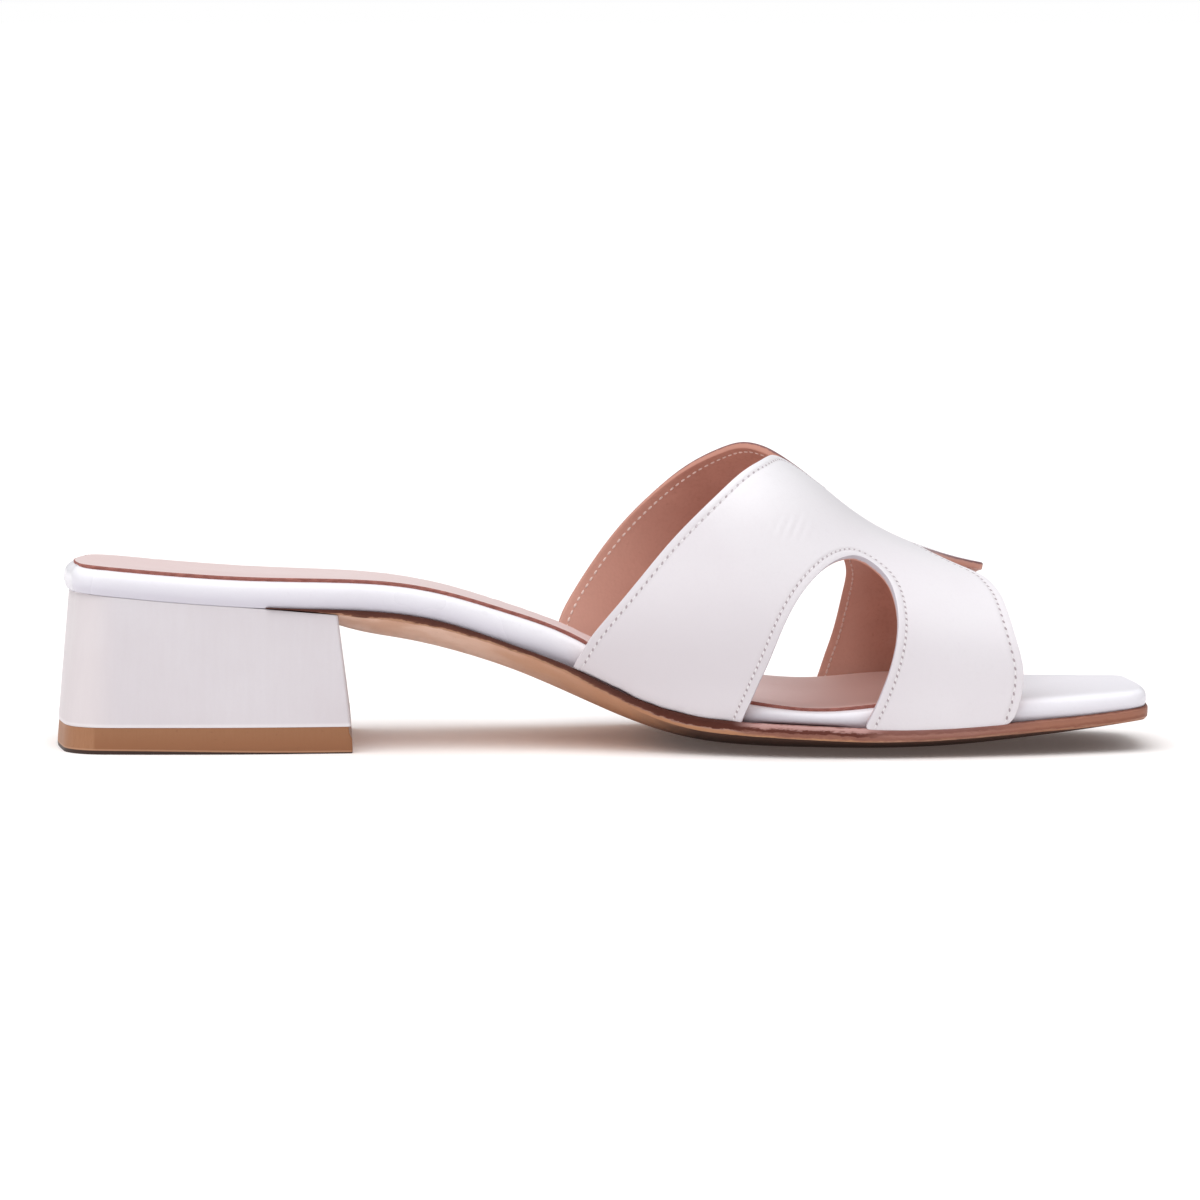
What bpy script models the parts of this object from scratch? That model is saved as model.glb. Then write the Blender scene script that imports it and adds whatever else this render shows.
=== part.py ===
# A woman's left mule sandal on a low block heel. One leather band, open at the toe and the
# heel, with a D-shaped opening in each side and a notch in the middle of both edges.
#
# Heel to toe runs along +X, the outer side of the foot is +Y and the inner side -Y, up is +Z.
# Inside this file the sizes are millimetres and X starts at the back of the heel. The last
# function moves everything so that the origin is under the middle of the shoe, on the floor.

import bpy
import bmesh
import numpy as np
from functools import lru_cache
from math import cos, hypot, pi, sin, sqrt
from mathutils import Vector
from mathutils.geometry import delaunay_2d_cdt

MM = 0.001

# Driving sizes
LENGTH = 250.0         # of the last; the sole is 2.6 longer
BALL_WIDTH = 88.5      # outsole across the ball of the foot
HEEL_HEIGHT = 38.3     # floor to the underside of the insole at the back
INSTEP_HEIGHT = 68.3   # floor to the upper's highest edge
GAP = 0.3              # air between pieces that touch
HEEL_CLEARANCE = 0.55  # air between the heel and the curved underside of the outsole

# Thicknesses and edges
UPPER_WALL = 1.8
SOCK_THICKNESS = 0.9
LIFT_THICKNESS = 6.1
SOCK_INSET = 2.4       # sock edge inside the insole edge
UPPER_MARGIN = 0.4     # upper's outer face inside the outsole edge, where it meets the sole

# Where the pieces begin and end along the shoe
OUTSOLE_BACK = 47.0
OUTSOLE_FRONT = 252.4
INSOLE_BACK = -0.6
INSOLE_FRONT = 252.1
SOCK_BACK = INSOLE_BACK + SOCK_INSET
SOCK_FRONT = 208.0
HEEL_BACK_TOP = 0.7
HEEL_BACK_BOTTOM = -1.9
HEEL_BREAST_TOP = 63.9
HEEL_BREAST_BOTTOM = 66.8
HEEL_CORNER = 11.0     # plan radius of the heel's back corners
BREAST_CORNER = 0.8
BREAST_SLANT = 1.3     # outer end of the heel breast behind its inner end
TOE_CORNER = 6.0
HEEL_FLARE = 1.2       # heel is this much wider each side at the floor than at the top
HEEL_TUCK = 0.7        # heel cover inside the insole edge at the top
LIFT_PROUD = 0.5       # top piece stands out this much beyond the heel cover
BACK_BOW = 2.2         # how far the middle of the heel back stands behind its corners
TOE_BOW = 1.3          # how far the middle of the toe stands before its corners
TOE_SLANT = 1.5        # outer corner of the toe behind its inner corner
BOW_REACH = 20.0       # length over which the curve of an end fades out

OUTSOLE_BACK_CORNER = 1.5
INSOLE_TOE_CORNER = 5.5
SOCK_FRONT_CORNER = 2.0
SOCK_BACK_BOW = 1.8
SOCK_FRONT_BOW = 2.0
HEEL_SIDE_END = 50.0   # forward of this the heel's outer side runs on at the same width
UNDERSIDE_ROUND = 2.2  # exponent of the underside's curve across: higher is flatter

# Edge profiles, from bottom to top: millimetres drawn in, share of the thickness
OUTSOLE_PROFILE = [(0.9, 0.0), (0.1, 0.22), (0.0, 0.5), (0.0, 0.76), (0.55, 1.0)]
INSOLE_PROFILE = [(0.7, 0.0), (0.1, 0.2), (0.0, 0.5), (0.45, 0.8), (1.9, 1.0)]
SOCK_PROFILE = [(0.0, 0.0), (0.0, 0.7), (0.25, 1.0)]
LIFT_PROFILE = [(0.2, 0.0), (0.0, 0.07), (0.5, 1.0)]

# Mesh spacing
ROW_STEP = 7.0
CORNER_STEPS = 5
LEAST_RADIUS = 0.1
OUTSOLE_COLUMNS = 10
INSOLE_COLUMNS = 6
HEEL_COLUMNS = 10
LIFT_COLUMNS = 4
HEEL_ROWS = 8
HEEL_LEVELS = (0.25, 0.5, 0.75)
SKIN_STEP = 3.6
SKIN_CLEAR = 0.62      # share of the step that inner points keep from the upper's edges
NORMAL_STEP = 1.2
SHARP_ANGLE = 0.7      # in radians


def table(text):
    """Reads a short table whose first line names its columns."""
    lines = [line.split() for line in text.strip().splitlines()]
    columns = zip(*[[float(value) for value in line] for line in lines[1:]])
    return dict(zip(lines[0], [np.array(column) for column in columns]))


# Sole sections. at: percent of the length. medial, lateral: outsole edge, percent of the ball
# width from the middle line. joint: height between insole and outsole at the inner edge,
# percent of the heel height. In millimetres: drop, how much lower the outer edge is; dish, how
# far the middle lies below the edges; board, wrapped insole; leather, outsole at its edge;
# crown, how far the underside bulges below its edges; inset, insole inside the outsole edge.
SOLE = table("""
 at     medial  lateral  joint   drop  dish  board  leather  crown  inset
 0.0    30.5    30.5     98.6    1.2   0.3   5.8    0.0      0.0    0.0
 8.0    31.0    31.1     93.1    1.4   0.4   6.1    0.0      0.0    0.0
 17.6   30.9    31.8     88.5    1.6   0.6   6.3    0.0      0.0    0.0
 22.0   30.0    32.3     87.3    1.8   0.8   6.5    0.5      1.4    0.0
 26.0   28.9    33.1     86.7    2.0   1.0   6.5    1.0      4.6    0.1
 31.2   27.1    34.4     84.1    2.5   1.2   6.6    1.5      5.4    0.2
 36.4   26.2    36.2     77.5    2.8   1.4   6.5    1.6      5.8    0.3
 41.6   26.2    38.2     67.2    3.1   1.6   6.5    1.8      5.8    0.9
 46.8   28.1    40.9     55.6    3.4   1.8   6.6    2.5      6.1    2.9
 52.0   31.9    44.5     38.4    2.6   2.0   5.9    3.2      4.9    2.9
 58.0   38.6    48.8     26.6    1.0   2.2   5.0    3.8      5.0    2.8
 64.0   44.5    51.5     23.3    0.3   2.2   3.5    3.8      5.5    2.8
 70.0   47.7    51.1     21.8    0.1   2.2   2.7    3.9      5.2    2.8
 76.0   47.9    47.9     20.2    0.0   2.0   4.8    3.7      4.7    2.8
 84.0   45.0    39.8     21.2    0.0   1.5   5.1    3.3      4.4    2.9
 90.0   40.7    31.4     23.8    0.0   1.0   4.5    3.4      3.4    1.2
 96.0   34.9    23.1     26.4    0.0   0.6   3.9    3.6      2.0    0.5
 100.7  30.5    17.0     29.8    0.0   0.3   3.2    3.5      1.2    0.4
""")

# Sections of the last above the sole, over which the upper is pulled. crown: height of the
# ridge, percent of the instep height. ridge: millimetres from the middle line to the ridge.
# For the inner (m) and the outer (l) side: wide, the fullest half width, percent of the ball
# width; high, the height of that place, percent of the instep height; square, the corner's
# fullness, where 2 is an ellipse.
LAST = table("""
 at    crown   ridge  m_wide  m_high  m_square  l_wide  l_high  l_square
 44.0  141.0   -4.0   30.5    44.0    2.8       46.9    59.0    2.0
 50.0  127.0   -2.0   35.3    47.0    2.8       47.8    58.0    2.0
 56.0  116.2   1.0    43.2    53.0    2.9       49.7    53.0    1.85
 60.8  108.6   3.0    46.6    47.0    3.2       51.5    46.0    2.05
 64.0  104.2   4.0    48.2    41.0    3.5       52.3    41.0    2.3
 68.8  93.0    4.0    49.4    34.0    3.0       52.7    34.0    2.3
 74.0  77.7    3.0    49.6    31.0    2.6       50.8    31.0    2.2
 80.0  66.6    1.0    48.6    29.5    2.4       46.3    28.0    2.4
 84.8  61.3    0.0    46.0    28.7    2.25      40.7    26.5    2.8
 90.0  59.0    -1.0   43.2    28.0    2.15      33.9    25.0    2.8
""")


def spline(table_columns, column):
    """A natural cubic curve of one column over the table's first column, 'at'."""
    xs = table_columns["at"]
    ys = table_columns[column]
    steps = np.diff(xs)
    slopes = np.diff(ys) / steps
    matrix = np.eye(len(xs))
    right = np.zeros(len(xs))
    for i in range(1, len(xs) - 1):
        matrix[i, i - 1:i + 2] = steps[i - 1], 2 * (steps[i - 1] + steps[i]), steps[i]
        right[i] = 6 * (slopes[i] - slopes[i - 1])
    bends = np.linalg.solve(matrix, right)

    def value(at):
        i = min(max(int(np.searchsorted(xs, at)) - 1, 0), len(steps) - 1)
        before = (at - xs[i]) / steps[i]
        after = 1 - before
        curve = (after ** 3 - after) * bends[i] + (before ** 3 - before) * bends[i + 1]
        return float(after * ys[i] + before * ys[i + 1] + curve * steps[i] ** 2 / 6)

    return value


SOLE_CURVES = {name: spline(SOLE, name) for name in SOLE if name != "at"}
LAST_CURVES = {name: spline(LAST, name) for name in LAST if name != "at"}


# ---------------------------------------------------------------- the sole's own surfaces

def sole_size(column, x):
    """A column of the sole table at x, in millimetres."""
    scale = {"medial": BALL_WIDTH / 100, "lateral": BALL_WIDTH / 100, "joint": HEEL_HEIGHT / 100}
    return SOLE_CURVES[column](100 * x / LENGTH) * scale.get(column, 1)


def across(x, y):
    """Where y lies across the sole: -1 at the inner edge, 1 at the outer edge."""
    medial = sole_size("medial", x)
    lateral = sole_size("lateral", x)
    return max(-1.0, min(1.0, (2 * y + medial - lateral) / (medial + lateral)))


def joint_height(x, y):
    """The surface between the insole and what lies under it."""
    u = across(x, y)
    drop = sole_size("drop", x) * (u + 1) / 2
    return sole_size("joint", x) - drop - sole_size("dish", x) * (1 - u * u)


def insole_height(x, y):
    return joint_height(x, y) + sole_size("board", x)


def underside(x, y):
    """The crowned lower side of the outsole, or of the insole where there is no outsole."""
    u = across(x, y)
    edge = sole_size("joint", x) - sole_size("drop", x) * (u + 1) / 2
    leather = max(0.0, sole_size("leather", x))
    crown = max(sole_size("crown", x), sole_size("dish", x))
    return edge - leather - crown * (1 - abs(u) ** UNDERSIDE_ROUND)


def tread(x, y):
    """The underside, worn flat where it meets the floor under the ball of the foot."""
    return max(0.0, underside(x, y))


# ---------------------------------------------------------------- plan outlines

class Plan:
    """The outline of a sole-shaped piece, seen from above, cut into rows across the shoe."""

    def __init__(self, back, front, back_corner, front_corner, medial, lateral, back_bow,
                 front_bow, front_slant=0.0, steps=None):
        self.back = back
        self.front = front
        self.back_corner = back_corner
        self.front_corner = front_corner
        self.medial = medial
        self.lateral = lateral
        self.back_bow = back_bow
        self.front_bow = front_bow
        self.front_slant = front_slant
        self.middle = front - front_corner - back - back_corner
        self.steps = steps or round(self.middle / ROW_STEP)

    def rows(self, inset):
        """(x, inner y, outer y) from back to front, drawn in all round by the inset."""
        turn = [1 - cos(pi / 2 * k / CORNER_STEPS) for k in range(CORNER_STEPS)]
        back_radius = max(LEAST_RADIUS, self.back_corner - inset)
        front_radius = max(LEAST_RADIUS, self.front_corner - inset)
        shares = [k / self.steps for k in range(self.steps + 1)]
        places = [self.back + inset + back_radius * t for t in turn]
        places += [self.back + self.back_corner + self.middle * share for share in shares]
        places += [self.front - inset - front_radius * t for t in reversed(turn)]
        rows = []
        for x in places:
            into_back = max(0.0, self.back + inset + back_radius - x)
            into_front = max(0.0, x - self.front + inset + front_radius)
            cut = back_radius - sqrt(max(0.0, back_radius ** 2 - into_back ** 2))
            cut += front_radius - sqrt(max(0.0, front_radius ** 2 - into_front ** 2))
            draw = inset + cut
            rows.append((x, draw - self.medial(x), self.lateral(x) - draw))
        return rows

    def bowed(self, x, u):
        """Ends curve gently, and the front end may slant, instead of running straight across."""
        back = max(0.0, 1 - (x - self.back) / BOW_REACH)
        front = max(0.0, 1 - (self.front - x) / BOW_REACH)
        drawn_in = self.front_bow * u * u + self.front_slant * (u + 1) / 2
        return x + self.back_bow * back * u * u - drawn_in * front

    def grid(self, inset, columns, height):
        """Rows of points across the piece, at height(x, y)."""
        points = []
        for x, inner, outer in self.rows(inset):
            row = []
            for column in range(columns + 1):
                share = column / columns
                y = inner + (outer - inner) * share
                place = self.bowed(x, 2 * share - 1)
                row.append(Vector((place, y, height(place, y))))
            points.append(row)
        return points


def border(grid):
    """The points round the edge of a grid, in order."""
    inner = [row[0] for row in grid]
    outer = [row[-1] for row in grid]
    return inner + grid[-1][1:-1] + outer[::-1] + grid[0][-2:0:-1]


def closed_slab(name, lower, upper, rings):
    """A solid between two grids, whose side wall passes through the rings."""
    mesh = bmesh.new()

    def sheet(grid, upward):
        verts = [[mesh.verts.new(point) for point in row] for row in grid]
        for a, b in zip(verts, verts[1:]):
            for k in range(len(a) - 1):
                corners = [a[k], b[k], b[k + 1], a[k + 1]]
                mesh.faces.new(corners if upward else corners[::-1])
        return border(verts)

    loops = [sheet(lower, False)]
    loops += [[mesh.verts.new(point) for point in ring] for ring in rings]
    loops.append(sheet(upper, True))
    for below, above in zip(loops, loops[1:]):
        for k in range(len(below)):
            after = (k + 1) % len(below)
            mesh.faces.new((below[k], below[after], above[after], above[k]))
    return finish(name, mesh)


def finish(name, mesh):
    """Makes the object, in metres, with outward faces and smooth shading between its edges."""
    bmesh.ops.scale(mesh, vec=(MM, MM, MM), verts=mesh.verts)
    bmesh.ops.recalc_face_normals(mesh, faces=mesh.faces)
    data = bpy.data.meshes.new(name)
    mesh.to_mesh(data)
    mesh.free()
    data.shade_smooth()
    data.set_sharp_from_angle(angle=SHARP_ANGLE)
    thing = bpy.data.objects.new(name, data)
    bpy.context.scene.collection.objects.link(thing)
    return thing


def edged_slab(name, plan, columns, floor_height, roof_height, edge):
    """A slab whose edge profile is given as rows of (inset, share of the thickness)."""
    lower = plan.grid(edge[0][0], columns, floor_height)
    upper = plan.grid(edge[-1][0], columns, roof_height)
    rings = []
    for inset, share in edge[1:-1]:
        def height(x, y, share=share):
            return floor_height(x, y) * (1 - share) + roof_height(x, y) * share
        rings.append(border(plan.grid(inset, columns, height)))
    return closed_slab(name, lower, upper, rings)


# ---------------------------------------------------------------- sole pieces

def make_outsole():
    plan = Plan(OUTSOLE_BACK, OUTSOLE_FRONT, OUTSOLE_BACK_CORNER, TOE_CORNER,
                lambda x: sole_size("medial", x), lambda x: sole_size("lateral", x),
                0.0, TOE_BOW, TOE_SLANT)
    return edged_slab("outsole", plan, OUTSOLE_COLUMNS, tread,
                      lambda x, y: joint_height(x, y) - GAP, OUTSOLE_PROFILE)


def insole_plan():
    return Plan(INSOLE_BACK, INSOLE_FRONT, HEEL_CORNER, INSOLE_TOE_CORNER,
                lambda x: sole_size("medial", x) - sole_size("inset", x),
                lambda x: sole_size("lateral", x) - sole_size("inset", x),
                BACK_BOW, TOE_BOW, TOE_SLANT)


def make_insole():
    return edged_slab("insole_wrapped", insole_plan(), INSOLE_COLUMNS, joint_height,
                      insole_height, INSOLE_PROFILE)


def make_sock():
    whole = insole_plan()
    plan = Plan(SOCK_BACK, SOCK_FRONT, HEEL_CORNER - SOCK_INSET, SOCK_FRONT_CORNER,
                lambda x: whole.medial(x) - SOCK_INSET,
                lambda x: whole.lateral(x) - SOCK_INSET,
                SOCK_BACK_BOW, SOCK_FRONT_BOW)
    return edged_slab("sock", plan, INSOLE_COLUMNS, lambda x, y: insole_height(x, y) + GAP,
                      lambda x, y: insole_height(x, y) + GAP + SOCK_THICKNESS, SOCK_PROFILE)


def heel_plan(share, proud=0.0):
    """The heel's outline at a share of the way up from the floor."""
    widen = HEEL_FLARE * (1 - share) - HEEL_TUCK * share + proud
    back = HEEL_BACK_TOP * share + HEEL_BACK_BOTTOM * (1 - share) - proud
    breast = HEEL_BREAST_TOP * share + HEEL_BREAST_BOTTOM * (1 - share)
    return Plan(back, breast + proud, HEEL_CORNER, BREAST_CORNER,
                lambda x: sole_size("medial", x) + widen,
                lambda x: sole_size("lateral", min(x, HEEL_SIDE_END)) + widen,
                BACK_BOW, 0.0, BREAST_SLANT, HEEL_ROWS)


def make_heel_block():
    foot = LIFT_THICKNESS + GAP

    def roof(x, y):
        return min(joint_height(x, y) - GAP, underside(x, y) - HEEL_CLEARANCE)

    def ring(share):
        def height(x, y):
            return foot * (1 - share) + roof(x, y) * share
        return heel_plan(share).grid(0.0, HEEL_COLUMNS, height)

    levels = [border(ring(share)) for share in HEEL_LEVELS]
    return closed_slab("heel_block", ring(0.0), ring(1.0), levels)


def make_heel_lift():
    plan = heel_plan(0.0, LIFT_PROUD)
    return edged_slab("heel_lift", plan, LIFT_COLUMNS, lambda x, y: 0.0,
                      lambda x, y: LIFT_THICKNESS, LIFT_PROFILE)


# ---------------------------------------------------------------- the last's skin above the sole

SKIN_POINTS = 160      # points worked out down each side of a section


def last_size(column, x):
    """A column of the last table at x, in millimetres."""
    value = LAST_CURVES[column](100 * x / LENGTH)
    if column.endswith("wide"):
        return value * BALL_WIDTH / 100
    if column == "crown" or column.endswith("high"):
        return value * INSTEP_HEIGHT / 100
    return value


@lru_cache(maxsize=None)
def section(x, side):
    """One side of a section, -1 inner or 1 outer: distances down the skin from the ridge, y, z."""
    letter = "m" if side < 0 else "l"
    ridge = last_size("ridge", x)
    crown = last_size("crown", x)
    wide = last_size(letter + "_wide", x)
    high = last_size(letter + "_high", x)
    power = 2 / last_size(letter + "_square", x)
    edge = sole_size("medial" if side < 0 else "lateral", x) - UPPER_MARGIN
    foot = joint_height(x, side * edge)

    turn = pi / 4 * (1 - np.cos(np.linspace(0, pi, SKIN_POINTS)))
    y = ridge + side * (wide - side * ridge) * np.sin(turn) ** power
    z = high + (crown - high) * np.clip(np.cos(turn), 0, 1) ** power
    down = np.linspace(0, 1, SKIN_POINTS)[1:]
    y = np.append(y, side * (wide - (wide - edge) * down ** 2))
    z = np.append(z, high - (high - foot) * down)
    lengths = np.append(0, np.cumsum(np.hypot(np.diff(y), np.diff(z))))
    return lengths, y, z


def girth(x, side):
    """Length of the skin from the ridge to the sole on one side."""
    return section(x, side)[0][-1]


def skin(x, spread):
    """The point on the skin at a distance from the ridge, which is negative on the inner side."""
    lengths, y, z = section(x, -1 if spread < 0 else 1)
    return Vector((x, np.interp(abs(spread), lengths, y), np.interp(abs(spread), lengths, z)))


def skin_normal(x, spread, step=NORMAL_STEP):
    """The outward direction of the skin."""
    low = max(spread - step, -girth(x, -1))
    high = min(spread + step, girth(x, 1))
    around = skin(x, high) - skin(x, low)
    along = skin(x + step, spread) - skin(x - step, spread)
    return around.cross(along).normalized() * -1


# ---------------------------------------------------------------- the upper's flat pattern

# Edges of the upper on the skin. along: percent of the length. around: percent of the girth
# from the ridge to the sole, negative on the inner side. Each curve starts and ends at the sole.
REAR_EDGE = table("""
 along  around
 47.0   -100
 49.1   -87.5
 52.4   -72
 55.8   -59
 58.3   -51.5
 60.6   -45
 62.6   -39
 64.0   -34
 64.9   -28.5
 65.6   -22
 66.6   -15.5
 68.0   -11
 69.3   -6.5
 70.2   -2
 70.5   2
 70.1   6
 68.9   9
 67.4   11
 66.1   12.5
 65.1   15.5
 63.9   19
 62.2   25
 60.2   31.5
 58.0   39
 55.2   50
 51.7   64.3
 49.2   76
 47.2   86.3
 46.0   94
 45.5   100
""")
OUTER_OPENING = table("""
 along  around
 59.0   100
 60.2   90
 61.8   79.5
 63.8   69
 66.1   58.5
 68.6   49
 70.9   45
 72.9   47.5
 73.9   55
 73.7   65
 72.8   79.5
 71.5   92.5
 70.6   100
""")
FRONT_EDGE = table("""
 along  around
 84.0   100
 84.6   94
 85.2   84
 85.4   74
 85.5   60
 85.6   45
 85.8   33
 86.1   26
 86.2   21.5
 85.8   18
 84.6   15
 82.9   12
 81.3   8.5
 80.2   4
 79.9   -1
 80.4   -6.5
 81.5   -12.5
 83.1   -18.5
 84.5   -23
 85.4   -28
 86.0   -35
 86.6   -43
 87.0   -52
 87.4   -61
 88.0   -72
 88.4   -80
 88.3   -88
 87.8   -96
 87.2   -100
""")
INNER_OPENING = table("""
 along  around
 73.6   -100
 75.1   -91
 76.0   -82.8
 76.6   -74.3
 76.8   -65
 76.5   -57
 75.7   -50.3
 74.3   -47.4
 72.5   -50
 70.3   -57.5
 68.2   -66
 66.5   -75
 64.9   -85.7
 63.5   -94
 62.4   -100
""")
EDGE_STEP = 2.6        # spacing of points along the upper's edges


def edge_points(rows):
    """Evenly spaced (x, spread) points along the smooth curve through an edge table."""
    xs = rows["along"] * LENGTH / 100
    spreads = np.array([share / 100 * girth(x, -1 if share < 0 else 1)
                        for x, share in zip(xs, rows["around"])])
    chord = np.append(0, np.cumsum(np.hypot(np.diff(xs), np.diff(spreads))))
    columns = {"at": chord, "x": xs, "spread": spreads}
    x_at = spline(columns, "x")
    spread_at = spline(columns, "spread")
    count = round(chord[-1] / EDGE_STEP)
    return [(x_at(t), spread_at(t)) for t in np.linspace(0, chord[-1], count + 1)]


def sole_points(start, end, side):
    """Points between two places where the upper stands on the sole."""
    count = round(abs(end - start) / SKIN_STEP)
    places = np.linspace(start, end, count + 1)[1:-1]
    return [(x, side * girth(x, side)) for x in places]


def upper_outline():
    """The closed outline of the flat pattern."""
    rear = edge_points(REAR_EDGE)
    outer = edge_points(OUTER_OPENING)
    front = edge_points(FRONT_EDGE)
    inner = edge_points(INNER_OPENING)
    outline = rear + sole_points(rear[-1][0], outer[0][0], 1)
    outline += outer + sole_points(outer[-1][0], front[0][0], 1)
    outline += front + sole_points(front[-1][0], inner[0][0], -1)
    outline += inner + sole_points(inner[-1][0], rear[0][0], -1)
    return outline


def inside(point, outline):
    """Whether a point of the pattern lies within its outline."""
    x, y = point
    crossings = 0
    for (ax, ay), (bx, by) in zip(outline, outline[1:] + outline[:1]):
        if (ay > y) != (by > y) and x < ax + (y - ay) / (by - ay) * (bx - ax):
            crossings += 1
    return crossings % 2 == 1


def filling(outline):
    """A field of points in equal triangles, kept clear of the outline."""
    low_x = min(x for x, _ in outline)
    high_x = max(x for x, _ in outline)
    low_y = min(y for _, y in outline)
    high_y = max(y for _, y in outline)
    row_height = SKIN_STEP * sqrt(3) / 2
    points = []
    for row in range(int((high_y - low_y) / row_height) + 1):
        for column in range(int((high_x - low_x) / SKIN_STEP) + 1):
            x = low_x + (column + 0.5 * (row % 2)) * SKIN_STEP
            y = low_y + row * row_height
            clear = min(hypot(x - ax, y - ay) for ax, ay in outline)
            if clear > SKIN_CLEAR * SKIN_STEP and inside((x, y), outline):
                points.append((x, y))
    return points


def make_upper():
    outline = upper_outline()
    count = len(outline)
    loop = [(k, (k + 1) % count) for k in range(count)]
    points = [Vector(point) for point in outline + filling(outline)]
    flat, _, faces, *_ = delaunay_2d_cdt(points, loop, [], 1, 1e-6)

    mesh = bmesh.new()
    outer = []
    inner = []
    for x, spread in flat:
        side = -1 if spread < 0 else 1
        face = skin(x, spread)
        back = face - skin_normal(x, spread) * UPPER_WALL
        if girth(x, side) - abs(spread) < 0.01:
            back.z = joint_height(back.x, back.y)
        outer.append(mesh.verts.new(face))
        inner.append(mesh.verts.new(back))
    for corners in faces:
        mesh.faces.new([outer[k] for k in corners])
        mesh.faces.new([inner[k] for k in reversed(corners)])
    used = {}
    for corners in faces:
        for a, b in zip(corners, list(corners[1:]) + [corners[0]]):
            key = (min(a, b), max(a, b))
            used[key] = None if key in used else (a, b)
    for ends in used.values():
        if ends:
            a, b = ends
            mesh.faces.new((outer[b], outer[a], inner[a], inner[b]))
    return finish("upper", mesh)


# ---------------------------------------------------------------- materials

# name: colour (linear), roughness
FINISHES = {
    "outsole": ((0.19, 0.075, 0.045), 0.55),
    "insole_wrapped": ((0.78, 0.77, 0.80), 0.32),
    "sock": ((0.74, 0.56, 0.51), 0.6),
    "heel_block": ((0.72, 0.69, 0.70), 0.5),
    "heel_lift": ((0.36, 0.19, 0.105), 0.4),
    "upper": ((0.82, 0.79, 0.80), 0.45),
}


def paint(thing):
    """Gives a piece its own plain material."""
    colour, roughness = FINISHES[thing.name]
    material = bpy.data.materials.new(thing.name + "_finish")
    material.use_nodes = True
    shader = material.node_tree.nodes["Principled BSDF"]
    shader.inputs["Base Color"].default_value = (*colour, 1)
    shader.inputs["Roughness"].default_value = roughness
    shader.inputs["Metallic"].default_value = 0
    material.diffuse_color = (*colour, 1)
    thing.data.materials.append(material)


def centre(things):
    """Puts the origin under the middle of the shoe, at floor height."""
    corners = [vertex.co for thing in things for vertex in thing.data.vertices]
    middle_x = (min(c.x for c in corners) + max(c.x for c in corners)) / 2
    middle_y = (min(c.y for c in corners) + max(c.y for c in corners)) / 2
    for thing in things:
        thing.location = (-middle_x, -middle_y, 0)


def build():
    for thing in list(bpy.data.objects):
        bpy.data.objects.remove(thing, do_unlink=True)
    things = [make_outsole(), make_insole(), make_sock(), make_heel_block(), make_heel_lift(),
              make_upper()]
    for thing in things:
        paint(thing)
    centre(things)


build()
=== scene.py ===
import math

import bpy
from mathutils import Matrix, Vector, noise
from mathutils.bvhtree import BVHTree
from mathutils.kdtree import KDTree


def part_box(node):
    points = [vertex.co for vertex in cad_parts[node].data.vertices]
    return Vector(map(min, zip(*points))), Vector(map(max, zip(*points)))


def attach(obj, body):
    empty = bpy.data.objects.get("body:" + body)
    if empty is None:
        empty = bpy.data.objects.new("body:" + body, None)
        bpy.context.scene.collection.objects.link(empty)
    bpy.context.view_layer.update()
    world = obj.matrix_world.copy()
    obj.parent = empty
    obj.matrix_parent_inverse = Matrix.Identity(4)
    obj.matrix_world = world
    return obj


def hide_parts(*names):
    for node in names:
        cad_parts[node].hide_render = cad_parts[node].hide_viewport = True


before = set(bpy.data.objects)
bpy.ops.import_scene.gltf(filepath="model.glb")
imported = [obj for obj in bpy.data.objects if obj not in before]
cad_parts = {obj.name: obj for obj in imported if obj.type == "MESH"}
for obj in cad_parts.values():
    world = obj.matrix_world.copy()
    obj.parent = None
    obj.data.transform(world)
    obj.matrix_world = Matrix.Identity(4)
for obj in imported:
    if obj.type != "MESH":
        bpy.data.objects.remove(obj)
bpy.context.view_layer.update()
mm = 0.001
print("frame loaded:", ", ".join(sorted(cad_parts)))


# selecting and modelling helpers

def pick(piece):
    if bpy.context.mode != "OBJECT":
        bpy.ops.object.mode_set(mode="OBJECT")
    bpy.ops.object.select_all(action="DESELECT")
    piece.select_set(True)
    bpy.context.view_layer.objects.active = piece


def subdivideSmooth(piece, levels):
    modifier = piece.modifiers.new("Subdivision", "SUBSURF")
    modifier.levels = levels
    modifier.render_levels = levels
    pick(piece)
    bpy.ops.object.modifier_apply(modifier=modifier.name)


def selectInEdit(piece, kind, wanted):
    # selects the vertices or edges whose number is wanted, and leaves the piece in edit mode
    pick(piece)
    bpy.ops.object.mode_set(mode="EDIT")
    bpy.ops.mesh.select_mode(type=kind)
    bpy.ops.mesh.select_all(action="DESELECT")
    bpy.ops.object.mode_set(mode="OBJECT")
    for part in piece.data.vertices if kind == "VERT" else piece.data.edges:
        part.select = part.index in wanted
    bpy.ops.object.mode_set(mode="EDIT")


merging = {"within": 0.02 * mm, "quadAngle": math.radians(60)}


def mergedCopy(nodeName, pieceName):
    # a CAD node's mesh is loose triangles: the copy is merged and its triangles paired into quads
    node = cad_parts[nodeName]
    piece = node.copy()
    piece.data = node.data.copy()
    piece.parent = None
    for key in list(piece.keys()):
        del piece[key]
    piece.name = pieceName
    piece.data.name = pieceName
    piece.data.materials.clear()
    bpy.context.scene.collection.objects.link(piece)
    pick(piece)
    bpy.ops.object.mode_set(mode="EDIT")
    bpy.ops.mesh.select_all(action="SELECT")
    bpy.ops.mesh.remove_doubles(threshold=merging["within"])
    bpy.ops.mesh.customdata_custom_splitnormals_clear()
    bpy.ops.mesh.mark_sharp(clear=True)
    bpy.ops.mesh.tris_convert_to_quads(face_threshold=merging["quadAngle"],
                                       shape_threshold=merging["quadAngle"])
    bpy.ops.object.mode_set(mode="OBJECT")
    return piece


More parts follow.
